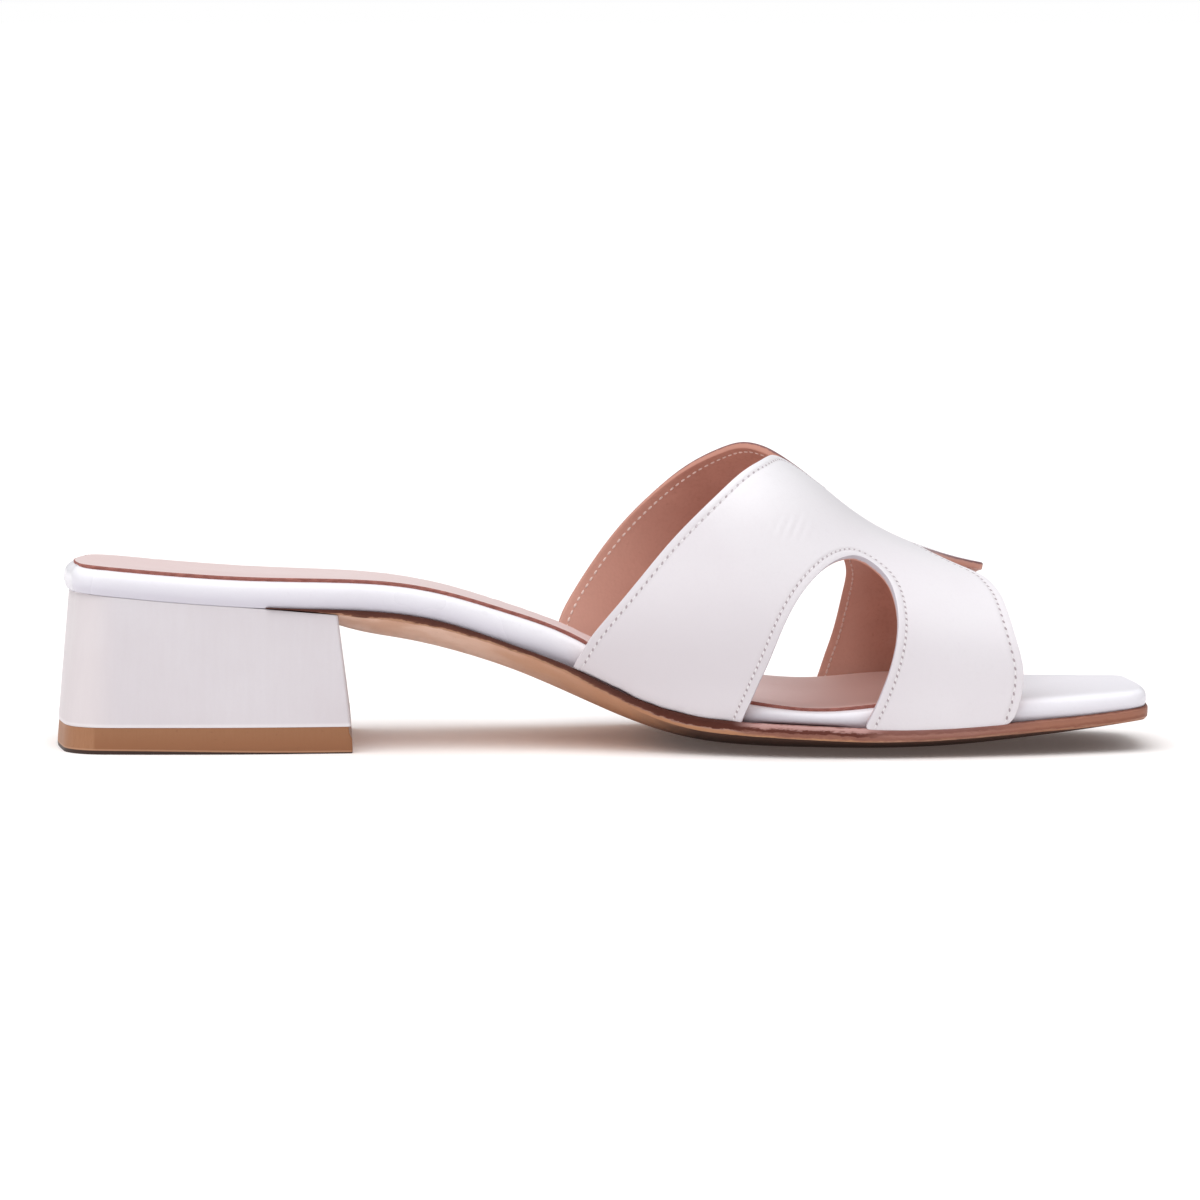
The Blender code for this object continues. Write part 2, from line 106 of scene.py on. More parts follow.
def facesByEdge(mesh):
    # the two faces that share each edge
    owners = {}
    for face in mesh.polygons:
        for key in face.edge_keys:
            owners.setdefault(key, []).append(face)
    return owners


def creaseEdges(piece, wanted):
    selectInEdit(piece, "EDGE", wanted)
    bpy.ops.transform.edge_crease(value=1.0)
    bpy.ops.object.mode_set(mode="OBJECT")


def creaseBorders(piece, angle=30):
    # keeps the edges between the wall and the top or bottom crisp when the piece is subdivided
    owners = facesByEdge(piece.data)
    wanted = set()
    for edge in piece.data.edges:
        first, second = owners[edge.key]
        if first.normal.angle(second.normal) > math.radians(angle):
            wanted.add(edge.index)
    creaseEdges(piece, wanted)


def pointTree(points):
    tree = KDTree(len(points))
    for index, point in enumerate(points):
        tree.insert(point, index)
    tree.balance()
    return tree


def clamped(value):
    return min(max(value, 0), 1)


def writeAttribute(piece, name, value):
    attribute = piece.data.attributes.new(name, "FLOAT", "POINT")
    for vertex in piece.data.vertices:
        attribute.data[vertex.index].value = value(vertex)


def slide(piece, wanted, move):
    # moves the vertices that pass the test
    chosen = {vertex.index for vertex in piece.data.vertices if wanted(vertex)}
    selectInEdit(piece, "VERT", chosen)
    bpy.ops.transform.translate(value=move)
    bpy.ops.object.mode_set(mode="OBJECT")


levelFrom = 0.3      # a normal that rises or falls by more than this belongs to a top or an underside


def looksUp(vertex):
    return vertex.normal.z > levelFrom


def looksDown(vertex):
    return vertex.normal.z < -levelFrom


def roughen(piece, wanted, size, depth):
    # pushes the chosen vertices in and out a little, so that a cut edge isn't dead straight
    normals = [vertex.normal.copy() for vertex in piece.data.vertices]
    for vertex, normal in zip(piece.data.vertices, normals):
        if wanted(vertex):
            vertex.co += normal * depth * noise.noise(vertex.co / size)
    piece.data.update()


jointDrop = {
    # the line where the upper and the wrapped insole meet the outsole sits this much lower than in
    # the solids, from the waist to the toe, in millimetres
    "from": -38, "rear": -15, "rearDrop": 1.1, "fore": 45, "foreDrop": 0.7,
}


def dropAt(place):
    x = place.x / mm
    if x < jointDrop["rear"]:
        share = max(0.0, (x - jointDrop["from"]) / (jointDrop["rear"] - jointDrop["from"]))
        return mm * share * jointDrop["rearDrop"]
    share = min(1.0, (x - jointDrop["rear"]) / (jointDrop["fore"] - jointDrop["rear"]))
    return mm * (jointDrop["rearDrop"] + share * (jointDrop["foreDrop"] - jointDrop["rearDrop"]))


def letDown(piece, share, extra=0.0):
    # lowers each vertex by the drop, and a little more, times its share
    shares = [share(vertex) for vertex in piece.data.vertices]
    for vertex, part in zip(piece.data.vertices, shares):
        vertex.co.z -= part * (dropAt(vertex.co) + extra)
    piece.data.update()


def finishPiece(piece, replaced=None, smoothAngle=40):
    pick(piece)
    bpy.ops.object.shade_smooth_by_angle(angle=math.radians(smoothAngle))
    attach(piece, "root")
    if replaced:
        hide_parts(replaced)


# colours and shader helpers

def tint(red, green, blue):
    # display values from 0 to 255 as linear light
    linear = []
    for value in (red, green, blue):
        share = value / 255
        linear.append(share / 12.92 if share <= 0.04045 else ((share + 0.055) / 1.055) ** 2.4)
    return (*linear, 1)


def newGroup(name, inputs, outputs):
    group = bpy.data.node_groups.new(name, "ShaderNodeTree")
    for label, kind, default in inputs:
        socket = group.interface.new_socket(label, in_out="INPUT", socket_type=kind)
        if default is not None:
            socket.default_value = default
    for label, kind in outputs:
        group.interface.new_socket(label, in_out="OUTPUT", socket_type=kind)
    start = group.nodes.new("NodeGroupInput")
    end = group.nodes.new("NodeGroupOutput")
    return group, start, end


def addNode(tree, kind, settings=None, values=None):
    node = tree.nodes.new(kind)
    for name, value in (settings or {}).items():
        setattr(node, name, value)
    for name, value in (values or {}).items():
        node.inputs[name].default_value = value
    return node


def combine(tree, operation, first, second):
    node = addNode(tree, "ShaderNodeMath", {"operation": operation})
    for index, value in enumerate((first, second)):
        if isinstance(value, (int, float)):
            node.inputs[index].default_value = value
        else:
            tree.links.new(value, node.inputs[index])
    return node.outputs[0]


def remap(tree, value, low, high, newLow=0.0, newHigh=1.0):
    node = addNode(tree, "ShaderNodeMapRange", {"interpolation_type": "SMOOTHSTEP"},
                   {"From Min": low, "From Max": high, "To Min": newLow, "To Max": newHigh})
    tree.links.new(value, node.inputs["Value"])
    return node.outputs["Result"]


def blendColours(tree, factor, first, second):
    # a fixed colour is either three display values or four linear ones
    node = addNode(tree, "ShaderNodeMix", {"data_type": "RGBA"})
    tree.links.new(factor, node.inputs[0])
    for index, colour in ((6, first), (7, second)):
        if isinstance(colour, tuple):
            node.inputs[index].default_value = tint(*colour) if len(colour) == 3 else colour
        else:
            tree.links.new(colour, node.inputs[index])
    return node.outputs[2]


def rampColours(tree, value, stops):
    # colours at places along a value that runs from 0 to 1
    node = addNode(tree, "ShaderNodeValToRGB")
    ramp = node.color_ramp
    while len(ramp.elements) < len(stops):
        ramp.elements.new(0.5)
    for element, (place, colour) in zip(ramp.elements, stops):
        element.position = place
        element.color = tint(*colour)
    tree.links.new(value, node.inputs["Fac"])
    return node.outputs["Color"]


def objectPlace(tree):
    place = addNode(tree, "ShaderNodeSeparateXYZ")
    tree.links.new(addNode(tree, "ShaderNodeTexCoord").outputs["Object"], place.inputs[0])
    return place.outputs


grainShape = {"pebbleHeight": 0.55, "wrinkleHeight": 0.6, "pores": (0.45, 0.75)}


def makeGrainGroup():
    # fine pebbles with a little wrinkling between them
    group, start, end = newGroup("leatherGrain", [
        ("Vector", "NodeSocketVector", None), ("Pebbles", "NodeSocketFloat", 900.0),
        ("Wrinkles", "NodeSocketFloat", 260.0)],
        [("Height", "NodeSocketFloat"), ("Pores", "NodeSocketFloat")])
    pebbles = addNode(group, "ShaderNodeTexVoronoi", {"feature": "SMOOTH_F1"}, {"Smoothness": 0.6})
    wrinkles = addNode(group, "ShaderNodeTexNoise", {},
                       {"Detail": 4.0, "Roughness": 0.6, "Distortion": 0.6})
    group.links.new(start.outputs["Vector"], pebbles.inputs["Vector"])
    group.links.new(start.outputs["Vector"], wrinkles.inputs["Vector"])
    group.links.new(start.outputs["Pebbles"], pebbles.inputs["Scale"])
    group.links.new(start.outputs["Wrinkles"], wrinkles.inputs["Scale"])
    rounded = combine(group, "SUBTRACT", 1.0, pebbles.outputs["Distance"])
    height = combine(group, "ADD", combine(group, "MULTIPLY", rounded, grainShape["pebbleHeight"]),
                     combine(group, "MULTIPLY", wrinkles.outputs[0], grainShape["wrinkleHeight"]))
    pores = remap(group, pebbles.outputs["Distance"], *grainShape["pores"])
    group.links.new(height, end.inputs["Height"])
    group.links.new(pores, end.inputs["Pores"])
    return group


driftShape = {"patches": (0.35, 0.65), "specks": (0.62, 0.74), "speckScale": 14.0}


def makeDriftGroup():
    # broad soft patches, for colour and gloss that are never quite even
    group, start, end = newGroup("slowDrift", [
        ("Vector", "NodeSocketVector", None), ("Scale", "NodeSocketFloat", 30.0)],
        [("Patches", "NodeSocketFloat"), ("Specks", "NodeSocketFloat")])
    patches = addNode(group, "ShaderNodeTexNoise", {}, {"Detail": 3.0, "Roughness": 0.5})
    specks = addNode(group, "ShaderNodeTexNoise", {}, {"Detail": 2.0, "Roughness": 0.7})
    group.links.new(start.outputs["Vector"], patches.inputs["Vector"])
    group.links.new(start.outputs["Vector"], specks.inputs["Vector"])
    group.links.new(start.outputs["Scale"], patches.inputs["Scale"])
    finer = combine(group, "MULTIPLY", start.outputs["Scale"], driftShape["speckScale"])
    group.links.new(finer, specks.inputs["Scale"])
    group.links.new(remap(group, patches.outputs[0], *driftShape["patches"]), end.inputs["Patches"])
    group.links.new(remap(group, specks.outputs[0], *driftShape["specks"]), end.inputs["Specks"])
    return group


streakRange = (0.3, 0.7)


def makeStreakGroup():
    # fibres drawn out along one direction by unequal scaling
    group, start, end = newGroup("fibreStreaks", [
        ("Vector", "NodeSocketVector", None), ("Stretch", "NodeSocketVector", (900.0, 900.0, 90.0))],
        [("Streaks", "NodeSocketFloat"), ("Height", "NodeSocketFloat")])
    scaled = addNode(group, "ShaderNodeVectorMath", {"operation": "MULTIPLY"})
    fibres = addNode(group, "ShaderNodeTexNoise", {}, {"Scale": 1.0, "Detail": 4.0, "Roughness": 0.65})
    group.links.new(start.outputs["Vector"], scaled.inputs[0])
    group.links.new(start.outputs["Stretch"], scaled.inputs[1])
    group.links.new(scaled.outputs[0], fibres.inputs["Vector"])
    group.links.new(remap(group, fibres.outputs[0], *streakRange), end.inputs["Streaks"])
    group.links.new(fibres.outputs[0], end.inputs["Height"])
    return group


grainGroup = makeGrainGroup()
driftGroup = makeDriftGroup()
streakGroup = makeStreakGroup()


def placeGroup(tree, group, values):
    node = addNode(tree, "ShaderNodeGroup", {"node_tree": group}, values)
    tree.links.new(addNode(tree, "ShaderNodeTexCoord").outputs["Object"], node.inputs["Vector"])
    return node


def newMaterial(name, look):
    material = bpy.data.materials.new(name)
    material.use_nodes = True
    tree = material.node_tree
    shader = tree.nodes["Principled BSDF"]
    shader.inputs["Roughness"].default_value = look["roughness"]
    shader.inputs["Specular IOR Level"].default_value = look["specular"]
    return material, tree, shader


def addBump(tree, shader, height, distance, below=None):
    bump = addNode(tree, "ShaderNodeBump", {}, {"Distance": distance})
    tree.links.new(height, bump.inputs["Height"])
    if below:
        tree.links.new(below, bump.inputs["Normal"])
    tree.links.new(bump.outputs["Normal"], shader.inputs["Normal"])
    return bump.outputs["Normal"]


def readAttribute(tree, name):
    return addNode(tree, "ShaderNodeAttribute", {"attribute_name": name}).outputs["Fac"]


glossSpread = {"smoothest": -0.04, "roughest": 0.05}      # changes of a leather's roughness


def leatherMaterial(name, look):
    # coloured leather: a base colour that drifts to a second one, specks, grain and uneven gloss
    material, tree, shader = newMaterial(name, look)
    drift = placeGroup(tree, driftGroup, {"Scale": look["driftScale"]})
    grain = placeGroup(tree, grainGroup, {"Pebbles": look["pebbles"], "Wrinkles": look["wrinkles"]})
    colour = blendColours(tree, drift.outputs["Patches"], look["colour"], look["drift"])
    specks = combine(tree, "MULTIPLY", drift.outputs["Specks"], look["specks"])
    colour = blendColours(tree, specks, colour, look["speckColour"])
    pores = combine(tree, "MULTIPLY", grain.outputs["Pores"], look["poreShade"])
    colour = blendColours(tree, pores, colour, look["speckColour"])
    gloss = remap(tree, drift.outputs["Patches"], 0.0, 1.0, look["roughness"] + glossSpread["smoothest"],
                  look["roughness"] + glossSpread["roughest"])
    tree.links.new(gloss, shader.inputs["Roughness"])
    tree.links.new(colour, shader.inputs["Base Color"])
    normal = addBump(tree, shader, grain.outputs["Height"], look["grainDepth"])
    return material, tree, shader, colour, normal


# camera, floor and lights

view = {
    # places in metres
    "from": (-0.030, -1.640, 0.172),
    "at": (0.0, 0.0, 0.033),
    "lens": 211, "reach": 60,
}
studio = {
    # brightness of the surroundings, from low to high, and where the haze ends
    "haze": 1.0, "horizon": 0.26, "zenith": 0.9, "hazeTop": 0.015,
    "sunStrength": 1.75,
    "sunFrom": (-0.25, -0.35, 1.0),
    "sunSpread": math.radians(70),
}
floorLook = {
    "size": 400,
    "colour": (252, 251, 251), "drift": (250, 249, 249), "driftScale": 2.0,
    "roughness": 0.8, "specular": 0.1,
    "glow": 0.075, "glowColour": (1.0, 0.78, 0.7, 1.0),      # warms the shadow a little
}


def aimed(thing, target):
    direction = Vector(target) - thing.location
    thing.rotation_euler = direction.to_track_quat("-Z", "Y").to_euler()


def makeStudio():
    scene = bpy.context.scene
    scene.view_settings.view_transform = "Standard"
    bpy.ops.object.select_all(action="DESELECT")
    bpy.ops.object.camera_add(location=view["from"])
    camera = bpy.context.object
    camera.data.lens = view["lens"]
    camera.data.clip_end = view["reach"]
    aimed(camera, view["at"])
    scene.camera = camera

    world = bpy.data.worlds.new("studioWhite")
    scene.world = world
    world.use_nodes = True
    tree = world.node_tree
    place = addNode(tree, "ShaderNodeSeparateXYZ")
    tree.links.new(addNode(tree, "ShaderNodeTexCoord").outputs["Generated"], place.inputs[0])
    brightness = addNode(tree, "ShaderNodeValToRGB")
    brightness.color_ramp.elements.new(studio["hazeTop"])
    for element, level in zip(brightness.color_ramp.elements, ("haze", "horizon", "zenith")):
        element.color = (studio[level], studio[level], studio[level], 1)
    tree.links.new(place.outputs["Z"], brightness.inputs["Fac"])
    tree.links.new(brightness.outputs["Color"], tree.nodes["Background"].inputs["Color"])

    bpy.ops.object.light_add(type="SUN", location=studio["sunFrom"])
    sun = bpy.context.object
    sun.data.energy = studio["sunStrength"]
    sun.data.angle = studio["sunSpread"]
    aimed(sun, (0, 0, 0))

    bpy.ops.mesh.primitive_plane_add(size=floorLook["size"], location=(0, 0, 0))
    floor = bpy.context.object
    floor.name = "floor"
    material, tree, shader = newMaterial("palePaper", floorLook)
    shader.inputs["Emission Strength"].default_value = floorLook["glow"]
    shader.inputs["Emission Color"].default_value = floorLook["glowColour"]
    drift = placeGroup(tree, driftGroup, {"Scale": floorLook["driftScale"]})
    colour = blendColours(tree, drift.outputs["Patches"], floorLook["colour"], floorLook["drift"])
    tree.links.new(colour, shader.inputs["Base Color"])
    floor.data.materials.append(material)


makeStudio()
print("camera, lights and floor placed")


# heel top piece

liftLook = {
    "colour": (154, 108, 78), "low": (148, 100, 70), "lowFades": (1 * mm, 6 * mm),
    # painted light: the back corner is lighter, as if lit from the back-left
    "corner": (166, 119, 88), "cornerFades": (-117.3 * mm, -116.5 * mm),
    "streak": (146, 100, 70), "streakShare": 0.35, "streakStretch": (1900.0, 1900.0, 260.0),
    "streakDepth": 0.02 * mm,
    "driftScale": 60.0, "specks": 0.12,
    "roughness": 0.5, "specular": 0.25,
    # the rubber that the heel stands on, thinner towards the breast
    "rubber": (62, 44, 38), "rubberTop": 0.95 * mm, "rubberThin": 0.35 * mm,
    "rubberThins": (-122 * mm, -62 * mm), "rubberFades": (0.1 * mm, -0.1 * mm),
    "seam": (196, 150, 120), "seamFades": (0.5 * mm, 0.15 * mm), "seamShare": 0.6,
    # the upper part of the breast, drawn back
    "flare": 0.5 * mm, "flareReach": 1.5 * mm, "flareFrom": 0.6,
}


def makeHeelLift():
    look = liftLook
    piece = mergedCopy("heel_lift", "heelLift")
    creaseBorders(piece)
    subdivideSmooth(piece, 2)
    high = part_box("heel_lift")[1]
    breast = high[0] - look["flareReach"]
    slide(piece, lambda vertex: vertex.co.x > breast and vertex.co.z > look["flareFrom"] * high[2],
          (-look["flare"], 0, 0))
    material, tree, shader = newMaterial("stackedLeather", look)
    place = objectPlace(tree)
    streaks = placeGroup(tree, streakGroup, {"Stretch": look["streakStretch"]})
    drift = placeGroup(tree, driftGroup, {"Scale": look["driftScale"]})
    rise = remap(tree, place["Z"], *look["lowFades"])
    colour = blendColours(tree, rise, look["low"], look["colour"])
    # painted light on the back corner
    corner = remap(tree, place["X"], *look["cornerFades"], 1.0, 0.0)
    colour = blendColours(tree, corner, colour, look["corner"])
    share = combine(tree, "MULTIPLY", streaks.outputs["Streaks"], look["streakShare"])
    colour = blendColours(tree, share, colour, look["streak"])
    darker = combine(tree, "MULTIPLY", drift.outputs["Specks"], look["specks"])
    colour = blendColours(tree, darker, colour, look["rubber"])
    # the rubber, with a pale seam over it
    top = remap(tree, place["X"], *look["rubberThins"], look["rubberTop"], look["rubberThin"])
    above = combine(tree, "SUBTRACT", place["Z"], top)
    seam = remap(tree, above, *look["seamFades"], 0.0, look["seamShare"])
    colour = blendColours(tree, seam, colour, look["seam"])
    low = remap(tree, above, *look["rubberFades"])
    colour = blendColours(tree, low, colour, look["rubber"])
    tree.links.new(colour, shader.inputs["Base Color"])
    addBump(tree, shader, streaks.outputs["Height"], look["streakDepth"])
    piece.data.materials.append(material)
    finishPiece(piece, "heel_lift")


makeHeelLift()
print("heel top piece done")


# heel block in its leather cover

heelLook = {
    # the cover's white leather, with painted shade over all of it, since the heel's sides stand upright
    "colour": (217, 212, 217), "drift": (213, 207, 212), "driftScale": 35.0,
    "speckColour": (204, 195, 199), "specks": 0.08, "poreShade": 0.04,
    "roughness": 0.5, "specular": 0.35,
    "pebbles": 1500.0, "wrinkles": 420.0, "grainDepth": 0.02 * mm,
    # painted light: the back corner is lighter and warmer, as if lit from the back-left
    "corner": (222, 213, 214), "cornerFades": (-118.5 * mm, -110.5 * mm), "cornerShare": 0.6,
    "fibreStretch": (700.0, 700.0, 60.0), "fibreShare": 0.12,
    # the leather is turned under along the bottom, and a painted highlight lies along there
    "lowEdge": (244, 240, 242), "lowFades": (6.6 * mm, 7.2 * mm), "lowShare": 0.4,
    "rise": 0.28 * mm, "sink": 0.24 * mm,      # close most of the gaps to the insole and the top piece
}


def makeHeelBlock():
    look = heelLook
    piece = mergedCopy("heel_block", "heelCover")
    slide(piece, looksUp, (0, 0, look["rise"]))
    slide(piece, looksDown, (0, 0, -look["sink"]))
    creaseBorders(piece)
    subdivideSmooth(piece, 2)
    material, tree, shader, colour, normal = leatherMaterial("heelCoverLeather", look)
    place = objectPlace(tree)
    fibres = placeGroup(tree, streakGroup, {"Stretch": look["fibreStretch"]})
    # painted light on the back corner
    corner = remap(tree, place["X"], *look["cornerFades"], look["cornerShare"], 0.0)
    colour = blendColours(tree, corner, colour, look["corner"])
    share = combine(tree, "MULTIPLY", fibres.outputs["Streaks"], look["fibreShare"])
    colour = blendColours(tree, share, colour, look["speckColour"])
    # a painted highlight along the bottom of the cover
    low = remap(tree, place["Z"], *look["lowFades"], look["lowShare"], 0.0)
    colour = blendColours(tree, low, colour, look["lowEdge"])
    tree.links.new(colour, shader.inputs["Base Color"])
    piece.data.materials.append(material)
    finishPiece(piece, "heel_block")


makeHeelBlock()
print("heel block done")


# outsole

outsoleLook = {
    # colours up the cut edge, from its bottom corner (0) to its top corner (1), each from its place along
    # the shoe, in millimetres, onwards. Besides the edge's own stain they hold pale pinkish bands that are
    # painted highlights, and in the waist a dark top that is partly painted shadow under the binding
    "edges": [
        (-60, 8, [(0.0, (190, 146, 120)), (0.14, (184, 138, 112)), (0.26, (108, 68, 54)),
                  (0.6, (86, 50, 42)), (1.0, (76, 44, 38))]),
        (-4, 16, [(0.0, (192, 140, 104)), (0.24, (186, 136, 106)), (0.31, (166, 128, 114)),
                  (0.4, (88, 46, 36)), (0.85, (76, 38, 30)), (1.0, (84, 46, 38))]),
        (29, 36, [(0.0, (196, 148, 112)), (0.1, (174, 124, 100)), (0.24, (148, 101, 85)),
                  (0.4, (138, 92, 80)), (0.48, (94, 50, 41)), (0.64, (100, 57, 49)),
                  (0.74, (188, 145, 139)), (0.92, (192, 152, 148)), (1.0, (138, 96, 91))]),
        (58, 66, [(0.0, (192, 148, 124)), (0.1, (160, 113, 96)), (0.3, (146, 100, 87)),
                  (0.5, (160, 115, 103)), (0.66, (132, 88, 79)), (0.88, (142, 100, 93)),
                  (1.0, (98, 64, 60))]),
        (84, 104, [(0.0, (152, 103, 82)), (0.1, (174, 127, 104)), (0.3, (142, 93, 76)),
                   (0.55, (162, 111, 92)), (0.85, (156, 107, 90)), (1.0, (104, 64, 56))]),
    ],
    "mottle": 0.13,                         # how far the edge's colours are mixed by the fibres
    # the stain wanders over the lower corner, by millimetres for one unit of noise, and not at the top
    "wave": 1.5, "waveStretch": (170.0, 170.0, 170.0), "waveFades": (0.1, 0.6),
    "cornerFades": (0.98, 1.1),             # where the edge turns into the underside
    "natural": (231, 198, 180), "naturalDark": (212, 171, 147), "driftScale": 90.0,
    "naturalFore": (192, 142, 110), "foreFades": (-45 * mm, 10 * mm),
    "speck": (150, 104, 84), "specks": 0.25,
    # painted shade under the ball, where the crowned underside faces the floor, and dark at the end under
    # the heel seat
    "worn": (78, 52, 42), "wornFades": (6 * mm, 24 * mm), "wornWander": 3 * mm,
    "tucked": (84, 50, 42), "tuckedFades": (-62 * mm, -68 * mm),
    "roughness": 0.5, "specular": 0.12,
    "fibreStretch": (420.0, 420.0, 1500.0), "fibreDepth": 0.06 * mm,
    "rise": 0.25 * mm,                      # of the top, towards the insole and the upper
    "columnReach": 0.95 * mm,
    "smoothAngle": 30,
}
edgeMarks = {
    # what measureEdge gives to vertices off the cut edge, where fewer than this many stand in a column
    "top": -1.0, "underside": 3.0, "height": 3.0, "fewest": 4,
}


def measureEdge(piece, reach):
    # how far down the cut edge each vertex is, from 0 at the top corner to 1 at the bottom corner,
    # with the edge's height there in millimetres
    vertices = piece.data.vertices
    tree = pointTree([(vertex.co.x, vertex.co.y, 0) for vertex in vertices])
    down = {}
    height = {}
    for vertex in vertices:
        column = tree.find_range((vertex.co.x, vertex.co.y, 0), reach)
        levels = [vertices[index].co.z for _, index, _ in column]
        if len(levels) >= edgeMarks["fewest"]:
            height[vertex.index] = (max(levels) - min(levels)) / mm
            down[vertex.index] = (max(levels) - vertex.co.z) / (max(levels) - min(levels))
        else:
            height[vertex.index] = edgeMarks["height"]
            down[vertex.index] = edgeMarks["top" if vertex.normal.z > 0 else "underside"]
    writeAttribute(piece, "downEdge", lambda vertex: down[vertex.index])
    writeAttribute(piece, "edgeHeight", lambda vertex: height[vertex.index])
    measured = [value for index, value in height.items() if 0 <= down[index] <= 1]
    print(piece.name, "edge heights, mm:", round(min(measured), 2), round(max(measured), 2))
    return down


def makeOutsole():
    look = outsoleLook
    piece = mergedCopy("outsole", "outsoleLeather")
    down = measureEdge(piece, look["columnReach"])
    letDown(piece, lambda vertex: 1 - clamped(down[vertex.index]))
    slide(piece, looksUp, (0, 0, look["rise"]))
    creaseBorders(piece)
    subdivideSmooth(piece, 2)

    material, tree, shader = newMaterial("soleLeather", look)
    place = objectPlace(tree)
    fibres = placeGroup(tree, streakGroup, {"Stretch": look["fibreStretch"]})
    down = readAttribute(tree, "downEdge")
    wander = placeGroup(tree, streakGroup, {"Stretch": look["waveStretch"]})
    wave = combine(tree, "SUBTRACT", wander.outputs["Height"], 0.5)
    wave = combine(tree, "MULTIPLY", wave, look["wave"])
    wave = combine(tree, "MULTIPLY", wave, remap(tree, down, *look["waveFades"]))
    share = combine(tree, "ADD", down, combine(tree, "DIVIDE", wave, readAttribute(tree, "edgeHeight")))
    mottle = combine(tree, "SUBTRACT", fibres.outputs["Streaks"], 0.5)
    mottle = combine(tree, "MULTIPLY", mottle, look["mottle"])
    rise = combine(tree, "ADD", combine(tree, "SUBTRACT", 1.0, share), mottle)
    edge = None
    # the edge's stain, with painted highlight bands and, in the waist, painted shadow at the top
    for start, full, stops in look["edges"]:
        band = rampColours(tree, rise, stops)
        reached = remap(tree, place["X"], start * mm, full * mm)
        edge = band if edge is None else blendColours(tree, reached, edge, band)

    drift = placeGroup(tree, driftGroup, {"Scale": look["driftScale"]})
    bottom = blendColours(tree, drift.outputs["Patches"], look["natural"], look["naturalDark"])
    fore = remap(tree, place["X"], *look["foreFades"])
    bottom = blendColours(tree, fore, bottom, look["naturalFore"])
    specks = combine(tree, "MULTIPLY", drift.outputs["Specks"], look["specks"])
    bottom = blendColours(tree, specks, bottom, look["speck"])
    # painted shade under the ball, its border wandering with the patches
    trodden = combine(tree, "MULTIPLY", drift.outputs["Patches"], look["wornWander"])
    trodden = remap(tree, combine(tree, "ADD", place["X"], trodden), *look["wornFades"])
    bottom = blendColours(tree, trodden, bottom, look["worn"])

    below = remap(tree, share, *look["cornerFades"])
    colour = blendColours(tree, below, edge, bottom)
    tucked = remap(tree, place["X"], *look["tuckedFades"])
    colour = blendColours(tree, tucked, colour, look["tucked"])
    tree.links.new(colour, shader.inputs["Base Color"])
    addBump(tree, shader, fibres.outputs["Height"], look["fibreDepth"])
    piece.data.materials.append(material)
    finishPiece(piece, "outsole", look["smoothAngle"])


makeOutsole()
print("outsole done")


# insole board in its white wrapping

wrapLook = {
    "colour": (244, 243, 249), "drift": (240, 238, 245), "driftScale": 28.0,
    # painted shade at the bottom of the side, less of it at the toe
    "low": (208, 205, 216), "lowFades": (0.1, 0.95), "toeFades": (40 * mm, 90 * mm), "toeShare": 0.5,
    "columnReach": 1.95 * mm,
    "settle": 0.2 * mm,          # of the underside, onto the outsole
    "creaseAngle": 52, "smoothAngle": 80,
    "speckColour": (205, 200, 208), "specks": 0.12, "poreShade": 0.03,
    "roughness": 0.3, "specular": 0.5,
    "pebbles": 1700.0, "wrinkles": 380.0, "grainDepth": 0.02 * mm,
}


def makeInsole():
    look = wrapLook
    piece = mergedCopy("insole_wrapped", "insoleWrap")
    down = measureEdge(piece, look["columnReach"])
    letDown(piece, lambda vertex: clamped(down[vertex.index]), look["settle"])
    creaseBorders(piece, look["creaseAngle"])
    subdivideSmooth(piece, 2)
    material, tree, shader, colour, normal = leatherMaterial("wrapLeather", look)
    # painted shade low on the side, less of it at the toe
    low = remap(tree, readAttribute(tree, "downEdge"), *look["lowFades"])
    toe = remap(tree, objectPlace(tree)["X"], *look["toeFades"], 1.0, look["toeShare"])
    low = combine(tree, "MULTIPLY", low, toe)
    tree.links.new(blendColours(tree, low, colour, look["low"]), shader.inputs["Base Color"])
    piece.data.materials.append(material)
    finishPiece(piece, "insole_wrapped", look["smoothAngle"])


makeInsole()
print("wrapped insole done")


# sock

sockLook = {
    "colour": (227, 208, 207), "drift": (222, 201, 200), "driftScale": 24.0,
    "speckColour": (206, 176, 168), "specks": 0.25, "poreShade": 0.1,
    "roughness": 0.55, "specular": 0.3,
    "pebbles": 1300.0, "wrinkles": 300.0, "grainDepth": 0.04 * mm,
    # painted shade on the sock, under the upper across the ball
    "worn": (206, 164, 154), "wornFades": (30 * mm, 66 * mm), "wornShare": 0.85,      # under the ball
    "settle": 0.65 * mm,         # pressed down onto the insole
}
sockEdgeLook = {
    "colour": (168, 108, 98), "streak": (132, 78, 70),
    "roughness": 0.65, "specular": 0.25,
    "fibreStretch": (500.0, 500.0, 2600.0), "fibreDepth": 0.06 * mm,
    "slope": 0.75,               # faces whose normal rises or falls less than this are cut edge
    "fray": 0.18 * mm, "fraySize": 2.2 * mm, "fraySlope": 0.9,
}


def sockEdgeMaterial():
    look = sockEdgeLook
    material, tree, shader = newMaterial("sockRawEdge", look)
    streaks = placeGroup(tree, streakGroup, {"Stretch": look["fibreStretch"]})
    colour = blendColours(tree, streaks.outputs["Streaks"], look["colour"], look["streak"])
    tree.links.new(colour, shader.inputs["Base Color"])
    addBump(tree, shader, streaks.outputs["Height"], look["fibreDepth"])
    return material


